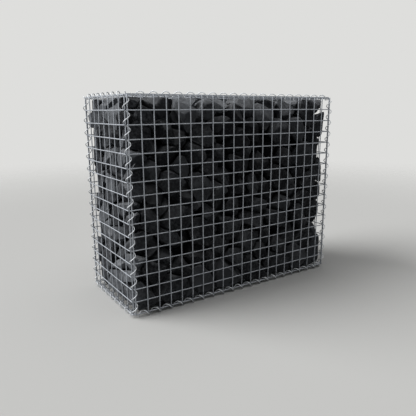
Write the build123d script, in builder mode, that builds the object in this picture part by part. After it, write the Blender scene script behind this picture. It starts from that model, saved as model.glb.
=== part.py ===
"""Gabion wall: a basket of six welded wire mesh panels, laced along its twelve edges
by spiral binders and filled with stone.

The origin is on the ground at the middle of the footprint. +X runs along the wall,
-Y is its front and +Z is up. All sizes are in millimetres.
"""

import os
from math import cos, hypot, pi

from build123d import *

os.makedirs("parts", exist_ok=True)

# Mesh grid: square cells, counted along the wall, through it and up it
cell = 50.0
columns = 20
bays = 8
rows = 16

# Mesh wires: five-sided, with a corner turned to the crossing layer and a flat turned away
mesh_sides = 5
mesh_corner = 2.4
weld_depth = 1.0

# Spiral binders: four-sided wire bent in short chords, one turn for each mesh cell
spiral_sides = 4
spiral_corner = 1.9
chords = 8
spiral_stop = 12.5

# Fits: the walls stand outside the grid, and the lid and the base lie between their edge wires
wall_set_off = 7.5
clearance = 0.3

# Stone fill: the stones of one course, and the groove that their joints leave in its faces
courses = 8
stones_along = 9
stones_deep = 3
joint_depth = 16.0
stagger = 0.24
shoulder_chamfer = 34.0
coil_chamfer = 18.0
course_chamfer = 7.0

# Each course from the bottom up: how far it stops short of the left end and of the right end,
# and the cut at its front left, front right and back right corners
course_ends = [
    (2.0, 12.0, 22.0, 34.0, 26.0),
    (8.0, 4.0, 30.0, 26.0, 40.0),
    (1.0, 18.0, 20.0, 40.0, 24.0),
    (6.0, 9.0, 26.0, 30.0, 34.0),
    (0.0, 22.0, 34.0, 24.0, 28.0),
    (9.0, 6.0, 20.0, 38.0, 42.0),
    (3.0, 16.0, 28.0, 28.0, 22.0),
    (7.0, 11.0, 24.0, 36.0, 30.0),
]

# The loose back left corner: how much of each course is missing along X and along Y
back_left_x = 36.0
back_left_y = 92.0

# Overall sizes of the grid
length = columns * cell
depth = bays * cell
height = rows * cell

# Wire layers: distance of each layer's centre lines from the grid's own box. The inner layer
# of the lid and the base is level with the end wires of the walls
mesh_flat = mesh_corner * cos(pi / mesh_sides)
layer_step = 2 * mesh_corner - weld_depth
outer_layer = wall_set_off + layer_step / 2
inner_layer = wall_set_off - layer_step / 2
lid_set_off = layer_step / 2

# A spiral goes round the two edge wires that it binds. On an upright edge its chords just
# clear them; along the lid and the base it lies a little outside their middle
bound_reach = hypot(inner_layer, outer_layer) / 2
chord_distance = bound_reach + mesh_corner + clearance + spiral_corner
spiral_radius = chord_distance / cos(pi / chords)
lead_step = cell / 16

# The flats of the four bottom spirals stand on the ground
floor = inner_layer / 2 + chord_distance + spiral_corner
ceiling = floor + height

# The fill lies against the inner wires
fill_x = length / 2 + inner_layer - mesh_flat - clearance
fill_y = depth / 2 + inner_layer - mesh_flat - clearance
fill_bottom = floor + mesh_flat + clearance
fill_top = ceiling - mesh_flat - clearance
course_step = (fill_top - fill_bottom + clearance) / courses
course_height = course_step - clearance
stone_length = 2 * fill_x / stones_along
stone_depth = 2 * fill_y / stones_deep


def mesh_panel(face, across, along):
    """Weld a mesh on the face plane, whose Z points out of the basket.

    The wires along the plane's Y are the outer layer and those along its X the inner one.
    """
    run = Plane(face.origin, x_dir=face.x_dir, z_dir=face.y_dir)
    cross = Plane(face.origin, x_dir=face.y_dir, z_dir=face.x_dir)
    with BuildPart() as panel:
        with BuildSketch(run.offset(-mesh_corner)):
            with Locations(*[(i * cell, -layer_step / 2) for i in range(across + 1)]):
                RegularPolygon(mesh_corner, mesh_sides, rotation=90)
        extrude(amount=along * cell + 2 * mesh_corner)
        with BuildSketch(cross.offset(-mesh_corner)):
            with Locations(*[(j * cell, -layer_step / 2) for j in range(along + 1)]):
                RegularPolygon(mesh_corner, mesh_sides, rotation=90)
        extrude(amount=across * cell + 2 * mesh_corner)
    return panel.part


def coil(cells):
    """Wind a right-handed spiral up the Z axis, starting on the X axis."""
    run = cells * cell - 2 * spiral_stop
    bends = round(run / cell * chords)
    with BuildPart() as spiral:
        with BuildLine() as centre:
            guide = Helix(cell, run, spiral_radius, mode=Mode.PRIVATE)
            Polyline(*[guide @ (i / bends) for i in range(bends + 1)])
        with BuildSketch(Plane(centre.line @ 0, x_dir=(1, 0, 0), z_dir=centre.line % 0)):
            RegularPolygon(spiral_corner, spiral_sides)
        sweep(path=centre.line, transition=Transition.RIGHT)
    return spiral.part


def binder(stock, corner, run, outward, lead):
    """Place a spiral along an edge from its corner.

    The spiral points straight out of the basket at lead steps past each cross wire.
    """
    turn = 360 * (spiral_stop - lead * lead_step) / cell
    frame = Plane(corner, x_dir=outward, z_dir=run).offset(spiral_stop)
    with BuildPart() as piece:
        with Locations(frame):
            add(stock, rotation=(0, 0, turn))
    return piece.part


def joints(index, count, pitch):
    """Give the places of the joints along one face of a course.

    The joints of one course are shifted against those of the next, each by an uneven amount.
    """
    lag = stagger if index % 2 == 0 else -stagger
    uneven = [((5 * k + 3 * index) % 7 - 3) / 3 * stagger / 2 for k in range(count)]
    return [(k + 1 - count / 2 + lag + uneven[k]) * pitch for k in range(count - 1)]


def course(index):
    """Cut one course of the fill: a block with its corners knocked off and its joints open."""
    left, right, front_left, front_right, back_right = course_ends[index]
    low_x = -fill_x + left
    high_x = fill_x - right
    base = fill_bottom + index * course_step
    outline = [
        (low_x + front_left, -fill_y),
        (high_x - front_right, -fill_y),
        (high_x, -fill_y + front_right),
        (high_x, fill_y - back_right),
        (high_x - back_right, fill_y),
        (low_x + back_left_x, fill_y),
        (low_x, fill_y - back_left_y),
        (low_x, -fill_y + front_left),
    ]
    with BuildPart() as block:
        with BuildSketch(Plane.XY.offset(base)):
            Polygon(*outline, align=None)
        extrude(amount=course_height)
        low_cut = coil_chamfer if index == 0 else course_chamfer
        high_cut = shoulder_chamfer if index == courses - 1 else course_chamfer
        chamfer(block.faces().sort_by(Axis.Z)[0].edges(), low_cut)
        chamfer(block.faces().sort_by(Axis.Z)[-1].edges(), high_cut)
        along = joints(index, stones_along, stone_length)
        through = joints(index, stones_deep, stone_depth)
        with BuildSketch(Plane.XY.offset(base)):
            with Locations(*[(x, side * fill_y) for x in along for side in (-1, 1)]):
                RegularPolygon(joint_depth, 4)
            with Locations(*[(x, y) for y in through for x in (low_x, high_x)]):
                RegularPolygon(joint_depth, 4)
        extrude(amount=course_height, mode=Mode.SUBTRACT)
    return block.part


def save(piece, name):
    """Label a piece and write it to its own file."""
    piece.label = name
    export_step(piece, f"parts/{name}.step")
    size = piece.bounding_box().size
    print(f"{name}: {size.X:.0f} x {size.Y:.0f} x {size.Z:.0f} mm, {piece.volume / 1e3:.0f} cm3")


# Six panels: the face plane starts at a grid corner and its Z points outward
half_x = length / 2
half_y = depth / 2
wall_x = half_x + wall_set_off
wall_y = half_y + wall_set_off
faces = {
    "front_panel": (Plane((-half_x, -wall_y, floor), (1, 0, 0), (0, -1, 0)), columns, rows),
    "back_panel": (Plane((half_x, wall_y, floor), (-1, 0, 0), (0, 1, 0)), columns, rows),
    "left_end_panel": (Plane((-wall_x, -half_y, floor), (0, 0, 1), (-1, 0, 0)), rows, bays),
    "right_end_panel": (Plane((wall_x, half_y, floor), (0, 0, 1), (1, 0, 0)), rows, bays),
    "base_panel": (Plane((-half_x, -half_y, floor - lid_set_off), (0, 1, 0), (0, 0, -1)), bays, columns),
    "lid_panel": (Plane((-half_x, half_y, ceiling + lid_set_off), (0, -1, 0), (0, 0, 1)), bays, columns),
}
for name, (face, across, along) in faces.items():
    save(mesh_panel(face, across, along), name)

# Twelve spirals: the signs of the edge, then the steps that its turns lead the cross wires by
along_x = coil(columns)
along_y = coil(bays)
along_z = coil(rows)
inner_half = inner_layer / 2
outer_half = outer_layer / 2
edges_x = {
    "top_front_spiral": (-1, 1, -1),
    "top_back_spiral": (1, 1, 1),
    "bottom_front_spiral": (-1, -1, 1),
    "bottom_back_spiral": (1, -1, -1),
}
for name, (side, level, lead) in edges_x.items():
    mid_z = ceiling if level > 0 else floor
    corner = (-half_x, side * (half_y + inner_half), mid_z + level * inner_half)
    save(binder(along_x, corner, (1, 0, 0), (0, side, level), lead), name)

edges_y = {
    "top_left_spiral": (-1, 1, -1),
    "top_right_spiral": (1, 1, -2),
    "bottom_left_spiral": (-1, -1, 1),
    "bottom_right_spiral": (1, -1, -1),
}
for name, (side, level, lead) in edges_y.items():
    mid_z = ceiling if level > 0 else floor
    corner = (side * (half_x + outer_half), -half_y, mid_z + level * inner_half)
    save(binder(along_y, corner, (0, 1, 0), (side, 0, level), lead), name)

edges_z = {
    "front_left_spiral": (-1, -1, 1),
    "front_right_spiral": (1, -1, 2),
    "back_left_spiral": (-1, 1, 2),
    "back_right_spiral": (1, 1, 1),
}
for name, (side, face_side, lead) in edges_z.items():
    corner = (side * (half_x + inner_half), face_side * (half_y + outer_half), floor)
    save(binder(along_z, corner, (0, 0, 1), (side, face_side, 0), lead), name)

# Eight courses of stone, from the base panel up
for index in range(courses):
    save(course(index), f"stone_course_{index + 1}")
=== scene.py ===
# %% [markdown]
# # Gabion wall
# A gabion is a cage of welded wire mesh that is filled with loose stone. This one stands
# on the ground as a low wall, 1 m long, 0.4 m deep and 0.8 m high. Six flat mesh panels
# make the cage, a long spiral of wire laces each of its twelve edges, and some hundreds
# of dark split stones fill it.
#
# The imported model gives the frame: every piece below takes its place in it.

import bmesh
import bpy
import numpy as np
from mathutils import Matrix, Vector


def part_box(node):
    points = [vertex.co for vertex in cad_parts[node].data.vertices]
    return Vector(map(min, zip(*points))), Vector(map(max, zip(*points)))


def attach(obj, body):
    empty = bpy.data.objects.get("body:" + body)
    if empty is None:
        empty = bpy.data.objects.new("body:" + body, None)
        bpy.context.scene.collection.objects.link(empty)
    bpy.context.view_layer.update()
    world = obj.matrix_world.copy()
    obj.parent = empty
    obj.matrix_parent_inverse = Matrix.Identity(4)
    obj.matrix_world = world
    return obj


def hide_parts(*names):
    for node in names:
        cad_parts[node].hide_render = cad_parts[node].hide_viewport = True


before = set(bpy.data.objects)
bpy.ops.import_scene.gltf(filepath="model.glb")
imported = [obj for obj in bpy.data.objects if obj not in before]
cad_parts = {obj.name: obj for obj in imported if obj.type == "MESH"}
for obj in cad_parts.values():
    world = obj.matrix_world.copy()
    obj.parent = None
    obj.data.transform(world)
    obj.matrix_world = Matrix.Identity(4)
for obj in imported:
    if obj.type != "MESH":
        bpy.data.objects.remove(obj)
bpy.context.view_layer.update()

# %% [markdown]
# ## The grid
# All wires of the cage lie on one grid of 50 mm squares, so the grid is worked out once.
# The panels are counted in squares: 20 along the wall, 8 through it and 16 up it. The
# wires of a panel lie in two layers that are welded where they cross. The walls stand a
# little outside the grid, and the inner wires of the lid and the base lie level with the
# end wires of the walls.

# %% Sizes of the grid, in metres
mm = 0.001
cell = 50 * mm
columns, bays, rows = 20, 8, 16
# How far outside the grid a panel's outer and inner layers lie
wall_layers, lid_layers = (9.4 * mm, 5.6 * mm), (3.8 * mm, 0.0)
mesh_radius, spiral_radius = 2.05 * mm, 1.75 * mm

panel_low, panel_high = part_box("front_panel")
half_x, half_y = columns * cell / 2, bays * cell / 2
floor_z = (panel_low.z + panel_high.z - rows * cell) / 2
ceiling_z = floor_z + rows * cell
print(f"grid from {floor_z / mm:.1f} mm to {ceiling_z / mm:.1f} mm above the ground")


# %% [markdown]
# ## Wire as a surface
# A wire is a circle carried along a line. It could be a curve object with a bevel, but
# worked out as arrays a whole panel is made at once, and its ends can be finished: the
# first and the last ring are smaller, which leaves the small rounded edge of a cut end.

# %% Helpers for arrays of points
def unit(vectors):
    """Each vector divided by its own length."""
    return vectors / np.linalg.norm(vectors, axis=-1, keepdims=True)


def join_rings(rings):
    """Four-cornered faces between each ring and the next, from point numbers (..., rings, points).

    Face = a point, the one after it on its ring, that one's match on the next ring, and its own.
    """
    after = np.roll(rings, -1, axis=-1)
    corners = [rings[..., :-1, :], after[..., :-1, :], after[..., 1:, :], rings[..., 1:, :]]
    return np.stack(corners, -1).reshape(-1, 4)


# %% Carry a circle along many lines at once
cut_edge = 0.45 * mm


def carry_circle(lines, side, radius, sides):
    """Points and faces of round wires that follow lines, an array (wires, steps, 3).

    Point = line point + radius * (cos a * side + sin a * (tangent x side)), where a runs
    round the circle in equal steps and the two end rings are drawn in by the cut edge.
    """
    wires, steps, _ = lines.shape
    tangent = unit(np.gradient(lines, axis=1))
    side = unit(side - (side * tangent).sum(-1, keepdims=True) * tangent)
    other = np.cross(tangent, side)
    reach_out = np.full((1, steps, 1, 1), radius)
    reach_out[:, [0, -1]] -= cut_edge
    angle = (np.arange(sides) * 2 * np.pi / sides)[:, None]
    spokes = np.cos(angle) * side[:, :, None] + np.sin(angle) * other[:, :, None]
    points = lines[:, :, None] + reach_out * spokes

    rings = np.arange(wires * steps * sides).reshape(wires, steps, sides)
    ends = np.concatenate([rings[:, 0, ::-1], rings[:, -1]])
    return points.reshape(-1, 3), join_rings(rings).tolist() + ends.tolist()


def along(length, steps):
    """Distances along a wire: even steps, with one more ring just inside each cut end."""
    even = np.linspace(0, length, steps + 1)
    return np.concatenate([[0, cut_edge], even[1:-1], [length - cut_edge, length]])


# %% Join parts into a piece
def build(name, parts, node):
    """Join parts, a list of (points, faces), into one piece that stands for a CAD node."""
    firsts = np.cumsum([0] + [len(points) for points, _ in parts])
    faces = []
    for first, (_, part_faces) in zip(firsts, parts):
        faces += [[corner + first for corner in face] for face in part_faces]
    mesh = bpy.data.meshes.new(name)
    mesh.from_pydata(np.concatenate([points for points, _ in parts]).tolist(), [], faces)
    mesh.shade_smooth()
    piece = bpy.data.objects.new(name, mesh)
    bpy.context.scene.collection.objects.link(piece)
    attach(piece, "root")
    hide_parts(node)
    return piece


# %% [markdown]
# ## Mesh panels
# The maker welds two layers of straight wire under pressure, so the wires sink a little
# into each other and a small pad of metal is squeezed out at every crossing. The stones
# then push the panel out by some millimetres. An array modifier could repeat one wire,
# but then all of them would be alike, so each panel is worked out from a plane instead:
# both layers take the same bend from one smooth field, and the welds stay closed.

# %% The bend of a panel
second_wave, ripple_share = 0.6, 0.3


def vectors_from(x, y, z):
    """Vectors from their coordinates, each of them an array or one number for all."""
    return np.stack(np.broadcast_arrays(x, y, z), -1)


def bend(s, t, bulge, wander, phase):
    """Offset (along the width, along the height, outward) at the shares s and t of a panel.

    In the panel it is wander * fade * two slow waves, and outward bulge * fade squared and a
    ripple. Fade = square root of (sin(pi s) * sin(pi t)), which leaves the edges straight,
    where the spirals hold them.
    """
    fade = np.sqrt(np.clip(np.sin(np.pi * s) * np.sin(np.pi * t), 0, 1))
    # The waves turn at uneven rates, in radians across the panel, so that they don't line up
    wave_s = np.sin(7.1 * s + 3.3 * t + phase) + second_wave * np.sin(13.7 * s - 9.2 * t + 2 * phase)
    wave_t = np.sin(4.3 * s - 8.1 * t + 3 * phase) + second_wave * np.sin(10.9 * s + 12.4 * t - phase)
    ripple = ripple_share * np.sin(17.3 * s + 14.9 * t + phase)
    outward = bulge * fade**2 + wander * fade * ripple
    return vectors_from(wander * fade * wave_s, wander * fade * wave_t, outward)


# %% The pads at the welds
weld_half_width, weld_half_height = 2.8 * mm, 1.5 * mm
weld_turns, weld_rings = 8, 3


def weld_pads(centres, x_axis, y_axis, normal):
    """Points and faces of a flat pad on every centre.

    Point = centre + half width * cos v * (cos u * x axis + sin u * y axis) + half height *
    sin v * normal, with u round the pad and v from its lower pole to its upper one.
    """
    u = (np.arange(weld_turns) * 2 * np.pi / weld_turns)[:, None]
    v = ((np.arange(weld_rings) + 1) * np.pi / (weld_rings + 1) - np.pi / 2)[:, None, None]
    spokes = np.cos(u) * x_axis + np.sin(u) * y_axis
    rings = weld_half_width * np.cos(v) * spokes + weld_half_height * np.sin(v) * normal
    pole = weld_half_height * normal
    shape = np.concatenate([[-pole], rings.reshape(-1, 3), [pole]])
    points = centres[:, None] + shape

    index = np.arange(len(centres) * len(shape)).reshape(len(centres), -1)
    lower_pole, upper_pole = index[:, :1], index[:, -1:]
    index = index[:, 1:-1].reshape(-1, weld_rings, weld_turns)
    after = np.roll(index, -1, axis=-1)
    lower_cap = vectors_from(lower_pole, after[:, 0], index[:, 0])
    upper_cap = vectors_from(upper_pole, index[:, -1], after[:, -1])
    caps = np.concatenate([lower_cap, upper_cap], axis=1).reshape(-1, 3)
    return points.reshape(-1, 3), join_rings(index).tolist() + caps.tolist()


# %% One panel from its face of the grid
wire_sides, steps_per_cell = 10, 2


def panel_parts(corner, x_axis, y_axis, across, up, layers, bulge, wander, phase):
    """The two layers and the welds of one panel, from a corner of its face of the grid.

    Point = corner + s * x axis + t * y axis + layer * normal + the bend there, with s and t in
    metres. The wires along the y axis are the outer layer.
    """
    corner, x_axis, y_axis = (np.array(v, float) for v in (corner, x_axis, y_axis))
    normal = np.cross(x_axis, y_axis)
    axes = np.stack([x_axis, y_axis, normal])
    width, height = across * cell, up * cell

    def point_at(s, t, layer):
        offset = bend(np.clip(s / width, 0, 1), np.clip(t / height, 0, 1), bulge, wander, phase)
        return corner + (offset + vectors_from(s, t, layer)) @ axes

    outer, inner = layers
    s_wires, t_wires = np.arange(across + 1) * cell, np.arange(up + 1) * cell
    s_run = along(width + 2 * mesh_radius, across * steps_per_cell) - mesh_radius
    t_run = along(height + 2 * mesh_radius, up * steps_per_cell) - mesh_radius
    uprights = point_at(*np.meshgrid(s_wires, t_run, indexing="ij"), outer)
    crossbars = point_at(*np.meshgrid(s_run, t_wires, indexing="xy"), inner)
    crossings = point_at(*np.meshgrid(s_wires, t_wires, indexing="ij"), (outer + inner) / 2)
    return [
        carry_circle(uprights, x_axis, mesh_radius, wire_sides),
        carry_circle(crossbars, y_axis, mesh_radius, wire_sides),
        weld_pads(crossings.reshape(-1, 3), x_axis, y_axis, normal),
    ]


# %% Six panels
near, far = (-half_x, -half_y, floor_z), (half_x, half_y, floor_z)
lid_corner = (-half_x, half_y, ceiling_z)
east, north, above = (1, 0, 0), (0, 1, 0), (0, 0, 1)
west, south = (-1, 0, 0), (0, -1, 0)
# Corner of the grid, the two axes of the panel, squares along each, layers, bulge and wander
panels = {
    "front": (near, east, above, columns, rows, wall_layers, 2.6 * mm, 0.9 * mm),
    "back": (far, west, above, columns, rows, wall_layers, 2.2 * mm, 0.9 * mm),
    "left_end": (near, above, north, rows, bays, wall_layers, 1.6 * mm, 0.8 * mm),
    "right_end": (far, above, south, rows, bays, wall_layers, 1.6 * mm, 0.8 * mm),
    "base": (near, north, east, bays, columns, lid_layers, 0.0, 0.5 * mm),
    "lid": (lid_corner, south, east, bays, columns, lid_layers, 0.6 * mm, 0.8 * mm),
}
panel_phase = 1.7
mesh_pieces = []
for number, (name, panel) in enumerate(panels.items()):
    parts = panel_parts(*panel, phase=panel_phase * number)
    mesh_pieces.append(build(f"{name}_mesh", parts, f"{name}_panel"))
print("points of the mesh panels", [len(piece.data.vertices) for piece in mesh_pieces])

# %% [markdown]
# ## Spiral binders
# A spiral binder is a long coil of spring wire that is screwed along an edge, one turn
# for each mesh square, so that it catches the edge wires of both panels. It could be a
# screw modifier on a short piece of wire. A helix worked out point by point is chosen
# because the real coil is never quite even: its turns slip a little forward and back,
# and each end is pinched in round the wire.

# %% One spiral
spiral_sides, steps_per_turn = 10, 24
lead_step = cell / 16
pinch, pinch_length = 0.5 * mm, 12 * mm
# Two waves by which the turns slip: height in radians, length of one radian, share of the phase
slips = ((0.09, 71 * mm, 1.0), (0.06, 23 * mm, 2.3))
# The wave by which the radius shrinks, in the same order
shrink, shrink_length, shrink_phase = 0.12 * mm, 31 * mm, 1.9


def spiral(corner, run, outward, length, stop, coil_radius, lead, phase):
    """A right-handed helix along run, from a corner of the grid, that stops short at both ends.

    Point = axis point + radius * (cos a * outward + sin a * (run x outward)). The angle a
    makes one turn for each square and slips by a few degrees, and the radius changes by some
    tenths of a millimetre.
    """
    corner, run, outward = (np.array(v, float) for v in (corner, run, outward))
    outward = unit(outward)
    span = length - 2 * stop
    distance = stop + along(span, round(span / cell * steps_per_turn))
    slip = sum(height * np.sin(distance / part + share * phase) for height, part, share in slips)
    angle = 2 * np.pi * (distance - lead * lead_step) / cell + slip
    to_end = np.minimum(distance - stop, length - stop - distance)
    radius = coil_radius - pinch * np.clip(1 - to_end / pinch_length, 0, 1) ** 2
    radius = radius - shrink * (1 + np.sin(distance / shrink_length + shrink_phase * phase))
    spoke = np.cos(angle)[:, None] * outward + np.sin(angle)[:, None] * np.cross(run, outward)
    line = corner + distance[:, None] * run + radius[:, None] * spoke
    return carry_circle(line[None], spoke[None], spiral_radius, spiral_sides)


# %% The twelve edges
# Each edge: the signs of its two faces, then the steps that its turns lead the cross wires by
edges_x = {
    "top_front": (-1, 1, 2.75),
    "top_back": (1, 1, 1),
    "bottom_front": (-1, -1, 1),
    "bottom_back": (1, -1, -1),
}
edges_y = {
    "top_left": (-1, 1, -1),
    "top_right": (1, 1, -2),
    "bottom_left": (-1, -1, 1),
    "bottom_right": (1, -1, -1),
}
edges_z = {
    "front_left": (-1, -1, 6),
    "front_right": (1, -1, -3),
    "back_left": (-1, 1, 2),
    "back_right": (1, 1, 1),
}
outer_half, inner_half = wall_layers[0] / 2, wall_layers[1] / 2
level_z = {-1: floor_z - inner_half, 1: ceiling_z + inner_half}
# Radius of the coils: those that run through the wall or along its foot are wound tighter.
# The ones through the wall also stop closer to the corners, and sit a little higher at the top
tight_wind, loose_wind = 10.15 * mm, 11.0 * mm
long_stop, short_stop, short_lift = 12 * mm, 6 * mm, 0.8 * mm

# %% Wind the spirals
edges = {}
for name, (side, level, lead) in edges_x.items():
    corner = (-half_x, side * (half_y + inner_half), level_z[level])
    coil_radius = loose_wind if level > 0 else tight_wind
    edges[name] = (corner, east, (0, side, level), columns * cell, long_stop, coil_radius, lead)
for name, (side, level, lead) in edges_y.items():
    lift = short_lift if level > 0 else 0
    corner = (side * (half_x + outer_half), -half_y, level_z[level] + lift)
    edges[name] = (corner, north, (side, 0, level), bays * cell, short_stop, tight_wind, lead)
for name, (side, face_side, lead) in edges_z.items():
    corner = (side * (half_x + inner_half), face_side * (half_y + outer_half), floor_z)
    edges[name] = (corner, above, (side, face_side, 0), rows * cell, long_stop, loose_wind, lead)

spiral_phase = 2.1
spiral_pieces = []
for number, (name, edge) in enumerate(edges.items()):
    parts = [spiral(*edge, phase=spiral_phase * number)]
    spiral_pieces.append(build(f"{name}_coil", parts, f"{name}_spiral"))
print("points of the spirals", [len(piece.data.vertices) for piece in spiral_pieces])

# %% [markdown]
# ## Split stones
# Quarried basalt breaks into angular lumps with flat faces and sharp edges. The lumps
# here are 80 to 170 mm long and lie close, with dark gaps between their corners. A
# physics drop of so many rocks would be slow and hard to steer, so the fill is worked
# out instead. Every stone starts from a seed point. Its faces are planes: one halfway
# to each neighbour, less a gap, a few against the mesh, and some that knock its
# corners off. Along any direction the stone ends at the nearest plane.

# %% Room of the fill
courses = sum(node.startswith("stone_course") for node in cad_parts)
stones = np.array((15, 3, courses))
# The stones stay at least this far from the centre lines of the inner wires
wire_room = 2.6 * mm
under_wire = wall_layers[1] - wire_room
fill_low = np.array([-half_x - under_wire, -half_y - under_wire, floor_z + wire_room])
fill_high = np.array([half_x + under_wire, half_y + under_wire, ceiling_z - wire_room])
pitch = (fill_high - fill_low) / stones
print("room of one stone in mm", np.round(pitch / mm))

# %% Seeds of the stones
rng = np.random.default_rng(3)
# Shares of one stone's room: shifts that neighbours take by turns, and how far each one strays
turn_shares, stray_shares = (0.2, 0.15, 0.24), (0.24, 0.16, 0.12)
seed_room, size_spread = 16 * mm, 9 * mm

spot = np.stack(np.meshgrid(*map(np.arange, stones), indexing="ij"), -1).reshape(-1, 3)
pairs = spot[spot[:, 0] == 0]
spot = np.concatenate([spot, pairs])
count = len(spot)
i, j, k = spot.T
# Neighbours sit forward and back, left and right, high and low by turns, then each strays a
# little. At the left end the stones are flat, and a pair of them shares each place
upper = np.where(i == 0, np.arange(count) < count - len(pairs), (i + j) % 2 == 0)
turns = vectors_from((-1.0) ** (j + k), (-1.0) ** (upper + k), np.where(upper, 1, -1)) * turn_shares
stray = rng.uniform(-1, 1, (count, 3)) * stray_shares
seeds = fill_low + (spot + 0.5 + turns + stray) * pitch
seeds = np.clip(seeds, fill_low + seed_room, fill_high - seed_room)
size = rng.uniform(-1, 1, count) * size_spread
print("stones", count)

# %% Width of the gaps
# Widths are shares of the gaps drawn below. Stones inside, at the ground and where one looks
# across a corner fit tightly, so that no light shows through
right_gaps, tight_gaps, left_gaps, other_gaps = 0.15, 0.35, 1.0, 1.25
right_columns, corner_columns = 2, 4

at_back = j == stones[1] - 1
at_right = i >= stones[0] - right_columns
inside = (j > 0) & ~at_back & (i > 0)
tight_fit = inside | (k == 0) | (at_back & (i < corner_columns))
shares = [right_gaps, tight_gaps, left_gaps]
looseness = np.select([at_right, tight_fit, i == 0], shares, other_gaps)[:, None]
widths, members = np.unique(looseness, return_counts=True)
print("stones by the width of their gaps", dict(zip(widths.tolist(), members.tolist())))

# %% [markdown]
# The planes of all stones are kept as two lists, the directions that they face and their
# distances from the seed, so that one expression answers for the whole fill. A large
# stone takes room from its neighbours: the plane between two stones moves by half the
# difference of their sizes.

# %% Planes between neighbours
neighbours, gap_widths = 30, (0.8 * mm, 4.5 * mm)
least_distance = 12 * mm

between = seeds[None] - seeds[:, None]
nearest = np.argsort((between**2).sum(-1), axis=1)[:, 1 : neighbours + 1]
towards = np.take_along_axis(between, nearest[..., None], 1)
bigger = (size[:, None] - size[nearest]) / 2
gap = rng.uniform(*gap_widths, nearest.shape) * looseness
halfway = np.linalg.norm(towards, axis=-1) / 2
normals = [unit(towards)]
distances = [np.maximum(halfway + bigger - gap, least_distance)]
print(f"gaps of {gap.min() / mm:.1f} to {gap.max() / mm:.1f} mm on each side")

# %% Add a plane to every stone
far_away = 10.0


def add_plane(normal, through, keep=True):
    """One more plane for each stone: distance = (through - seed) . normal, or far away unless kept."""
    normal = unit(np.broadcast_to(np.asarray(normal, float), (count, 3)))
    distance = np.where(keep, ((through - seeds) * normal).sum(-1), far_away)
    normals.append(normal[:, None])
    distances.append(np.maximum(distance, least_distance)[:, None])


# %% Planes against the cage
# Along x, y and z: how much the broad facets tilt, how deep they are set back at most, and
# how much of a steep facet's lean goes that way
tilts, set_backs, lean_shares = (0.1, 0.17, 0.04), (12 * mm, 24 * mm, 4 * mm), (1, 0.4, 1)
least_set_back, ground_share, set_back_power = 1 * mm, 0.3, 2.5
steep_stray, steep_depths, steep_leans, steep_chance = 12 * mm, (2 * mm, 12 * mm), (0.35, 0.75), 0.7

for axis, number in enumerate(stones):
    for sign, limit, last in ((-1, fill_low, 0), (1, fill_high, number - 1)):
        outward = np.eye(3)[axis] * sign
        add_plane(outward, limit)

        # At the mesh a broad facet tilts a little and is set back by its own amount
        at_mesh = spot[:, axis] == last
        deepest = set_backs[axis] * np.where(k == 0, ground_share, 1)
        point = seeds.copy()
        point[:, axis] = limit[axis] - sign * (least_set_back + deepest * rng.random(count) ** set_back_power)
        add_plane(outward + rng.normal(0, tilts[axis], (count, 3)), point, at_mesh)

        # Another cuts across it at a steeper angle. Against the lid and the base there is
        # none, because stones lie flat there, and none at the ground or in the loose corner
        point = seeds + rng.uniform(-steep_stray, steep_stray, (count, 3))
        point[:, axis] = limit[axis] - sign * rng.uniform(*steep_depths, count)
        lean = rng.uniform(*steep_leans, (count, 1))
        sideways = unit(rng.normal(size=(count, 3)) * (np.arange(3) != axis) * lean_shares)
        may_have_one = at_mesh & (axis < 2) & (k > 0) & (~at_back | (i > 0))
        add_plane(outward + lean * sideways, point, may_have_one & (rng.random(count) < steep_chance))
print("planes of each stone", sum(part.shape[1] for part in normals))

# %% [markdown]
# The spirals reach inside the grid by about 10 mm, so the edges of the fill are cut back
# along them, and a little more at the foot of the two ends. The front stones of the top
# course slope down to the front, which catches the light just under the lid. At the
# front they also stop short of the right end, and the corner at the back of the left
# end is loose.

# %% Planes along the edges
coil_gap, foot_gap = 1.2 * mm, 8 * mm
spiral_room = loose_wind + spiral_radius + coil_gap
foot_room = spiral_room + foot_gap
for corner, _, outward, *_ in edges.values():
    room = foot_room if outward[2] < 0 and outward[0] else spiral_room
    add_plane(outward, np.array(corner) - unit(np.array(outward, float)) * room)
print("planes of each stone", sum(part.shape[1] for part in normals))

# %% Slopes at the top and at the right end
# The front stones of the top course: how they slope along the wall and to the front, and how
# far below the lid they meet the mesh
slopes_x, slopes_y, shoulder_drops = (-0.6, 0.5), (-1.4, -0.7), (30 * mm, 62 * mm)
slope = vectors_from(rng.uniform(*slopes_x, count), rng.uniform(*slopes_y, count), 1)
shoulder = vectors_from(seeds[:, 0], fill_low[1], ceiling_z - rng.uniform(*shoulder_drops, count))
add_plane(slope, shoulder, (k == courses - 1) & (j == 0))

# All front stones at the right end: which way they are cut, and how far short of the grid
short_facing, short_by, short_spread = (0.8, -0.6, 0), 19 * mm, 5 * mm
short = half_x - short_by - short_spread * rng.uniform(-1, 1, count)
add_plane(short_facing, vectors_from(short, fill_low[1], 0), j == 0)
print("planes of each stone", sum(part.shape[1] for part in normals))

# %% The loose corner
loose_x, loose_y = 36 * mm, 92 * mm
# How much of it is missing, for each half course from the bottom up
half_courses = [0.6, 0.5, 0.7, 0.4, 0.9, 0.6, 0.8, 1.0, 1.1, 1.0, 0.6, 1.1, 0.75, -0.5, -0.5, 0.9]
missing = np.array(half_courses)[2 * k + upper]
add_plane((-loose_y, loose_x, 0), vectors_from(fill_low[0], fill_high[1] - missing * loose_y, 0))
print("planes of each stone", sum(part.shape[1] for part in normals))

# %% [markdown]
# ## From planes to a surface
# A cube whose faces are grids of squares is blown up to a ball. That gives directions
# with two parameters on each side, evenly spread and without poles. Each direction then
# gets its distance from the planes. A direction that comes close to an edge between two
# planes is moved onto it, which keeps the edge as sharp as a split stone's.

# %% A ball of directions
splits = 9
lattice = np.stack(np.meshgrid(*[range(splits + 1)] * 3, indexing="ij"), -1).reshape(-1, 3)
shell = lattice[((lattice == 0) | (lattice == splits)).any(1)]
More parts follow.
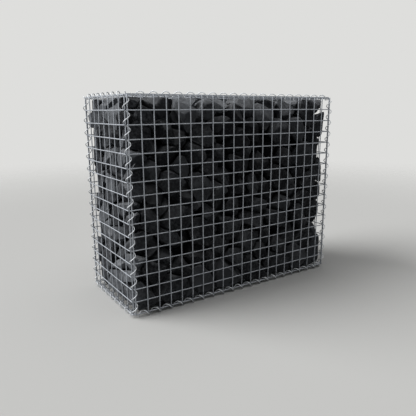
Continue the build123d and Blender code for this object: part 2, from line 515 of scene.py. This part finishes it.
# The tangent keeps the squares nearly equal when the cube is blown up
directions = unit(np.tan((shell / splits - 0.5) * np.pi / 2))
number_of = np.zeros((splits + 1,) * 3, int)
number_of[tuple(shell.T)] = np.arange(len(shell))
squares = []
for axis in range(3):
    for side in (0, splits):
        sheet = np.take(number_of, side, axis=axis)
        corners = [sheet[:-1, :-1], sheet[1:, :-1], sheet[1:, 1:], sheet[:-1, 1:]]
        square = np.stack(corners, -1).reshape(-1, 4)
        # Squares that face into the ball are turned round
        a, b, c = (directions[square[:, n]] for n in (0, 1, 3))
        inside_out = (np.cross(b - a, c - a) * a).sum(1) < 0
        square[inside_out] = square[inside_out, ::-1]
        squares.append(square)
squares = np.concatenate(squares)
print("directions", len(directions), "squares", len(squares))

# %% Distance along each direction
# The higher this power is, the sharper the edges are
edge_power = 160.0
never_met = 1e-6


def all_planes():
    """Every plane of every stone, as the direction that it faces divided by its distance."""
    return np.concatenate(normals, 1) / np.concatenate(distances, 1)[..., None]


def tightness(rays):
    """For each stone, ray and plane: (ray . facing) / distance. The largest one is the plane that
    the ray meets first, at 1 / largest from the seed."""
    return np.maximum(np.einsum("srk,spk->srp", rays, all_planes()), never_met)


def reach(rays):
    """1 / (sum of tightness to the power p) to the power 1/p: the nearest plane, with the edges
    between planes rounded off a little."""
    tight = tightness(rays)
    most = tight.max(-1, keepdims=True)
    return 1 / (most[..., 0] * ((tight / most) ** edge_power).sum(-1) ** (1 / edge_power))


# %% Knock corners off
# Each knock is a plane that faces any way, at its own depth under the tip that is furthest out
knocks, knock_depths = 8, (5 * mm, 25 * mm)
rays = np.repeat(directions[None], count, 0)
knock_facing = unit(rng.normal(size=(count, knocks, 3)))
tips = rays / tightness(rays).max(-1)[..., None]
furthest = np.einsum("srk,spk->srp", tips, knock_facing).max(1)
knocked_off = rng.uniform(*knock_depths, (count, knocks)) * looseness
normals.append(knock_facing)
distances.append(np.maximum(furthest - knocked_off, least_distance))
print(f"corners knocked off by {knocked_off.mean() / mm:.0f} mm on average")

# %% Move the rays that lie near an edge onto it
# A ray meets an edge where it is as tight on one plane as on the other, so the difference of
# the two planes tells its angle from the edge and the way to move it
spacing = np.pi / 2 / splits
order = np.argsort(-tightness(rays), axis=-1)[..., :2]
first, second = (np.take_along_axis(all_planes(), order[..., n, None], 1) for n in (0, 1))
apart = first - second
off_edge = (rays * apart).sum(-1) / np.linalg.norm(apart, axis=-1)
closeness = np.clip(1 - np.abs(off_edge) / spacing, 0, 1)
near_edge = np.abs(off_edge) < spacing / 2
rays = unit(np.where(near_edge[..., None], rays - off_edge[..., None] * unit(apart), rays))
surface = rays * reach(rays)[..., None]
print(f"{near_edge.mean():.0%} of the rays moved onto an edge")

# %% [markdown]
# ## Rough faces
# A split face isn't flat: it rolls by a few millimetres and is chipped along its edges.
# Waves of several lengths and random directions add up to that. They only ever take
# stone away, so that no stone grows through the mesh.

# %% Waves that wear the stones
# Depth, length and number of the waves that roll the faces, then of those that chip the edges
rolls = ((1.3 * mm, 70 * mm, 8), (0.6 * mm, 24 * mm, 10))
chip_depth, chip_length, chip_waves = 1.6 * mm, 17 * mm, 10


def waves(points, length, number):
    """Sum of sines / square root of their number: each sine has its own random direction and
    phase, and a wavelength of 0.7 to 1.4 times length. The sum lies mostly within 1.5 of 0."""
    direction = unit(rng.normal(size=(number, 3))) / (length * rng.uniform(0.7, 1.4, (number, 1)))
    phase = rng.uniform(0, 2 * np.pi, number)
    return np.sin(2 * np.pi * points @ direction.T + phase).sum(-1) / np.sqrt(number)


world = surface + seeds[:, None]
roll = sum(depth * np.abs(waves(world, length, number)) for depth, length, number in rolls)
chip = chip_depth * closeness * np.abs(waves(world, chip_length, chip_waves))
distance = np.linalg.norm(surface, axis=-1)
world = seeds[:, None] + surface * ((distance - roll - chip) / distance)[..., None]
tone = rng.random(count)
print(f"worn by {(roll + chip).mean() / mm:.1f} mm on average and {(roll + chip).max() / mm:.1f} mm at most")

# %% Merge what lies close
merge_distance, sliver_length = 0.3 * mm, 0.2 * mm


def merge_close(mesh):
    """Make one point of the rays that met on an edge, so that the shell stays closed and clean."""
    edit = bmesh.new()
    edit.from_mesh(mesh)
    bmesh.ops.remove_doubles(edit, verts=edit.verts, dist=merge_distance)
    bmesh.ops.dissolve_degenerate(edit, edges=edit.edges, dist=sliver_length)
    edit.to_mesh(mesh)
    edit.free()


# %% Eight courses of stone
sharp_angle = np.radians(20)
# The corners of the two triangles that a square gives when it is cut either way
cut_one_way, cut_other_way = [0, 1, 2, 0, 2, 3], [1, 2, 3, 1, 3, 0]
stone_pieces = []
for course in range(courses):
    chosen = np.flatnonzero(k == course)
    points = world[chosen]
    # Cut each square along the diagonal that stands further out, as on any convex lump
    corners = points[:, squares] - seeds[chosen, None, None]
    one, other = (np.linalg.norm(corners[:, :, n] + corners[:, :, n + 2], axis=-1) for n in (0, 1))
    cut = np.where((one > other)[..., None], squares[:, cut_one_way], squares[:, cut_other_way])
    firsts = np.arange(len(chosen))[:, None, None] * len(directions)
    faces = cut.reshape(len(chosen), -1, 3) + firsts
    part = (points.reshape(-1, 3), faces.reshape(-1, 3).tolist())
    piece = build(f"stones_{course + 1}", [part], f"stone_course_{course + 1}")
    values = {"tone": np.repeat(tone[chosen], len(directions)), "edge": closeness[chosen].ravel()}
    for name, value in values.items():
        attribute = piece.data.attributes.new(name, "FLOAT", "POINT")
        attribute.data.foreach_set("value", value.astype(np.float32))
    merge_close(piece.data)
    piece.data.set_sharp_from_angle(angle=sharp_angle)
    stone_pieces.append(piece)
print("triangles of the stone courses", [len(piece.data.polygons) for piece in stone_pieces])

# %% [markdown]
# ## Colours and nodes
# Colours are written as they look on a screen and turned into the linear values that the
# shaders work with. One small function adds any node, with its settings and links.


# %% Helpers for materials
# Numbers of the sockets that a Mix node has for colours, because other sockets share their names
mix_share, mix_from, mix_to, mix_result = 0, 6, 7, 2


def colour(hex_code):
    """sRGB hex to linear RGBA: ((c + 0.055) / 1.055) ** 2.4, or c / 12.92 for the darkest values."""
    parts = [int(hex_code[n : n + 2], 16) / 255 for n in (1, 3, 5)]
    return [((c + 0.055) / 1.055) ** 2.4 if c > 0.04045 else c / 12.92 for c in parts] + [1.0]


def add(tree, kind, values=None, links=None, **settings):
    """Add a node: settings are its own options, values fill its sockets and links feed them."""
    new = tree.nodes.new(kind)
    for key, value in settings.items():
        setattr(new, key, value)
    for key, value in (values or {}).items():
        new.inputs[key].default_value = value
    for key, socket in (links or {}).items():
        tree.links.new(socket, new.inputs[key])
    return new


def new_material(name):
    """An empty material: itself, its tree, its output and the object coordinates for patterns."""
    material = bpy.data.materials.new(name)
    material.use_nodes = True
    tree = material.node_tree
    tree.nodes.clear()
    output = add(tree, "ShaderNodeOutputMaterial")
    where = add(tree, "ShaderNodeTexCoord").outputs["Object"]
    return material, tree, output, where


# %% [markdown]
# ## Galvanised wire
# The wire is steel that is drawn through molten zinc. Fresh zinc is bright, and after a
# season outdoors it has a dull grey skin with brighter patches where it rubs. The eye
# sees a soft metallic grey, a little blue, with blurred highlights. The patches are about
# 20 mm long. The real mottling is below 1 mm, too fine to show from here, so it is drawn
# at 3 mm.


# %% Zinc finishes
patch_size, mottle_size = 20 * mm, 3 * mm


def zinc(name, dull, bright, least_roughness, most_roughness):
    """Hot-dip galvanised wire, weathered: a metal whose colour and gloss change in patches."""
    material, tree, output, where = new_material(name)
    coarse_noise = {"Scale": 1 / patch_size, "Detail": 3.0}
    fine_noise = {"Scale": 1 / mottle_size, "Detail": 2.0}
    patches = add(tree, "ShaderNodeTexNoise", coarse_noise, {"Vector": where}).outputs["Fac"]
    mottle = add(tree, "ShaderNodeTexNoise", fine_noise, {"Vector": where}).outputs["Fac"]
    both = add(tree, "ShaderNodeMath", None, {0: patches, 1: mottle}, operation="MULTIPLY")
    tint = add(tree, "ShaderNodeValToRGB", None, {"Fac": both.outputs[0]})
    for stop, position, shade in zip(tint.color_ramp.elements, (0.12, 0.42), (dull, bright)):
        stop.position, stop.color = position, colour(shade)
    span = {"From Min": 0.3, "From Max": 0.7, "To Min": least_roughness, "To Max": most_roughness}
    gloss = add(tree, "ShaderNodeMapRange", span, {"Value": patches}).outputs["Result"]
    depth = {"Strength": 0.25, "Distance": 0.2 * mm}
    relief = add(tree, "ShaderNodeBump", depth, {"Height": mottle}).outputs["Normal"]
    links = {"Base Color": tint.outputs["Color"], "Roughness": gloss, "Normal": relief}
    shader = add(tree, "ShaderNodeBsdfPrincipled", {"Metallic": 0.95}, links)
    tree.links.new(shader.outputs["BSDF"], output.inputs["Surface"])
    return material


mesh_zinc = zinc("galvanised_mesh_wire", "#8f9399", "#b2b6bc", 0.55, 0.75)
spiral_zinc = zinc("galvanised_spring_wire", "#a8abaf", "#d6d9dc", 0.5, 0.66)
for pieces, finish in ((mesh_pieces, mesh_zinc), (spiral_pieces, spiral_zinc)):
    for piece in pieces:
        piece.data.materials.append(finish)
    print(finish.name, "on", len(pieces), "pieces")

# %% [markdown]
# ## Basalt
# Basalt is a dense, fine-grained lava, near black when wet and charcoal grey when dry.
# It is dull, each lump has its own shade and the broken faces are mottled. A pale dusting
# lies on what faces up and clings to the edges, and the same pale grey also stands in for
# painted light: the tops are lightened as if lit from above, and the edges carry a painted
# highlight. The real grain is 1 to 3 mm, too fine to show from here, so it is drawn at
# 11 mm with finer detail inside.

# %% The stone's own shade
cloud_size, grain_size = 45 * mm, 11 * mm
basalt, tree, output, where = new_material("split_basalt")
tone_value = add(tree, "ShaderNodeAttribute", attribute_name="tone").outputs["Fac"]
edge_value = add(tree, "ShaderNodeAttribute", attribute_name="edge").outputs["Fac"]
cloud_noise = {"Scale": 1 / cloud_size, "Detail": 5.0, "Roughness": 0.6}
grain_noise = {"Scale": 1 / grain_size, "Detail": 5.0, "Roughness": 0.8}
clouds = add(tree, "ShaderNodeTexNoise", cloud_noise, {"Vector": where}).outputs["Fac"]
grain = add(tree, "ShaderNodeTexNoise", grain_noise, {"Vector": where}).outputs["Fac"]

own_span = {"To Min": -0.42, "To Max": 0.42}
own_shade = add(tree, "ShaderNodeMapRange", own_span, {"Value": tone_value}).outputs["Result"]
speckle_span = {"From Min": 0.35, "From Max": 0.65, "To Min": -0.38, "To Max": 0.38}
speckle = add(tree, "ShaderNodeMapRange", speckle_span, {"Value": grain}).outputs["Result"]
mixed = clouds
for part in (own_shade, speckle):
    mixed = add(tree, "ShaderNodeMath", None, {0: mixed, 1: part}, operation="ADD").outputs[0]
body = add(tree, "ShaderNodeValToRGB", None, {"Fac": mixed})
for stop, position, shade in zip(body.color_ramp.elements, (0.2, 0.85), ("#37383b", "#6d7074")):
    stop.position, stop.color = position, colour(shade)
print("nodes of the stone's shade", len(tree.nodes))

# %% Dust and painted light on what faces up and on the edges
normal = add(tree, "ShaderNodeNewGeometry").outputs["Normal"]
facing_up = add(tree, "ShaderNodeSeparateXYZ", None, {0: normal}).outputs["Z"]
# Partly painted light: faces that point up are mixed toward pale grey as if lit from above, and the edges get
# a painted highlight; both also stand for a pale dusting that lies there
top_dust_and_light_span = {"From Min": 0.2, "From Max": 0.75, "To Max": 0.62}
edge_dust_and_highlight_span = {"From Min": 0.55, "From Max": 1.0, "To Max": 0.2}
top_dust_and_light = add(tree, "ShaderNodeMapRange", top_dust_and_light_span, {"Value": facing_up}).outputs["Result"]
edge_dust_and_highlight = add(tree, "ShaderNodeMapRange", edge_dust_and_highlight_span, {"Value": edge_value}).outputs["Result"]
dust_and_light_share = top_dust_and_light
for part, operation in ((edge_dust_and_highlight, "MAXIMUM"), (clouds, "MULTIPLY")):
    dust_and_light_share = add(tree, "ShaderNodeMath", None, {0: dust_and_light_share, 1: part}, operation=operation).outputs[0]
# The pale grey of the dusting, of the painted top light and of the painted edge highlight
pale_dust_and_light = {mix_to: colour("#999b9e")}
links = {mix_share: dust_and_light_share, mix_from: body.outputs["Color"]}
dusted_and_lit = add(tree, "ShaderNodeMix", pale_dust_and_light, links, data_type="RGBA")
print("nodes with the dust", len(tree.nodes))

# %% Relief and gloss of the stone
dull_span = {"To Min": 0.7, "To Max": 0.95}
dullness = add(tree, "ShaderNodeMapRange", dull_span, {"Value": clouds}).outputs["Result"]
coarse_relief, fine_relief = ({"Strength": 0.6, "Distance": depth * mm} for depth in (2.5, 1.4))
coarse = add(tree, "ShaderNodeBump", coarse_relief, {"Height": clouds}).outputs["Normal"]
fine = add(tree, "ShaderNodeBump", fine_relief, {"Height": grain, "Normal": coarse}).outputs["Normal"]
links = {"Base Color": dusted_and_lit.outputs[mix_result], "Roughness": dullness, "Normal": fine}
shader = add(tree, "ShaderNodeBsdfPrincipled", {"Specular IOR Level": 0.06}, links)
tree.links.new(shader.outputs["BSDF"], output.inputs["Surface"])
for piece in stone_pieces:
    piece.data.materials.append(basalt)
print(basalt.name, "on", len(stone_pieces), "pieces")

# %% [markdown]
# ## Floor, light and camera
# The wall stands on a plain pale floor that fades into the background some metres away,
# so no horizon shows. The camera and reflections see its pale colour, and all other light
# a dark one, so that little light comes up from below. A large soft sun from the upper
# left and a little behind lights the left end and leaves the front in shade. A weaker and
# still softer one overhead lights the tops of the stones, and an even world fills the rest.

# %% Floor
floor_reach = 7.0
turn = np.linspace(0, 2 * np.pi, 64, endpoint=False)
outline = vectors_from(floor_reach * np.cos(turn), floor_reach * np.sin(turn), 0)
floor_mesh = bpy.data.meshes.new("floor")
floor_mesh.from_pydata(outline.tolist(), [], [list(range(len(turn)))])
floor = bpy.data.objects.new("floor", floor_mesh)
bpy.context.scene.collection.objects.link(floor)
print("floor", 2 * floor_reach, "m across")


# %% Colour of the floor
def seen_directly(tree):
    """1 for rays from the camera, off gloss and through glass, and 0 for all other light."""
    path = add(tree, "ShaderNodeLightPath").outputs
    seen = path["Is Camera Ray"]
    for other in (path["Is Glossy Ray"], path["Is Transmission Ray"]):
        seen = add(tree, "ShaderNodeMath", None, {0: seen, 1: other}, operation="MAXIMUM").outputs[0]
    return seen


pale, tree, output, where = new_material("pale_floor")
away = add(tree, "ShaderNodeVectorMath", None, {0: where}, operation="LENGTH").outputs["Value"]
fade_span = {"From Min": 1.8, "From Max": 5.5}
fade = add(tree, "ShaderNodeMapRange", fade_span, {"Value": away}, interpolation_type="SMOOTHSTEP")
shades = {mix_from: colour("#50504f"), mix_to: colour("#c6c6c4")}
shade = add(tree, "ShaderNodeMix", shades, {mix_share: seen_directly(tree)}, data_type="RGBA")
matt = add(tree, "ShaderNodeBsdfDiffuse", None, {"Color": shade.outputs[mix_result]})
clear = add(tree, "ShaderNodeBsdfTransparent")
links = {0: fade.outputs["Result"], 1: matt.outputs[0], 2: clear.outputs[0]}
blend = add(tree, "ShaderNodeMixShader", None, links)
tree.links.new(blend.outputs[0], output.inputs["Surface"])
floor_mesh.materials.append(pale)
print(pale.name, "on the floor")

# %% Light
world_light = bpy.data.worlds.new("studio")
bpy.context.scene.world = world_light
world_light.use_nodes = True
tree = world_light.node_tree
tree.nodes.clear()
output = add(tree, "ShaderNodeOutputWorld")
lighting = add(tree, "ShaderNodeBackground", {"Color": colour("#ffffff"), "Strength": 0.04})
background = add(tree, "ShaderNodeBackground", {"Color": colour("#dededc"), "Strength": 1.0})
links = {0: seen_directly(tree), 1: lighting.outputs[0], 2: background.outputs[0]}
choice = add(tree, "ShaderNodeMixShader", None, links)
tree.links.new(choice.outputs[0], output.inputs["Surface"])

# Each sun: its strength, its width in degrees and the way that its light travels
suns = {"side_sun": (3.3, 50, (0.70, -0.42, -0.58)), "top_sun": (1.1, 70, (0, 0, -1))}
for name, (energy, width, travel) in suns.items():
    light = bpy.data.lights.new(name, "SUN")
    light.energy, light.angle = energy, np.radians(width)
    sun = bpy.data.objects.new(name, light)
    sun.rotation_euler = Vector(travel).to_track_quat("-Z", "Y").to_euler()
    bpy.context.scene.collection.objects.link(sun)
bpy.context.scene.view_settings.view_transform = "Standard"
print("suns", list(suns))

# %% [markdown]
# The camera stands where the photograph was taken from: its place, direction and lens
# were worked out from the crossings of the mesh, whose real spacing is known.

# %% Camera
view_turn, view_drop, view_roll = np.radians((-33.682, 12.525, -0.256))
view_place = (-1.1107, -1.6134, 0.7597)
sensor_width, focal_length = 36.0, 37.72

level_back = np.cos(view_drop)
back = Vector((np.sin(view_turn) * level_back, -np.cos(view_turn) * level_back, np.sin(view_drop)))
level = Vector((0, 0, 1)).cross(back).normalized()
right = np.cos(view_roll) * level + np.sin(view_roll) * back.cross(level)
facing = Matrix((right, back.cross(right), back)).transposed().to_4x4()
camera_data = bpy.data.cameras.new("camera")
camera_data.sensor_width = sensor_width
camera_data.lens = focal_length
camera = bpy.data.objects.new("camera", camera_data)
camera.matrix_world = Matrix.Translation(view_place) @ facing
bpy.context.scene.collection.objects.link(camera)
bpy.context.scene.camera = camera
print(f"camera {Vector(view_place).length:.2f} m from the origin, {focal_length} mm lens")
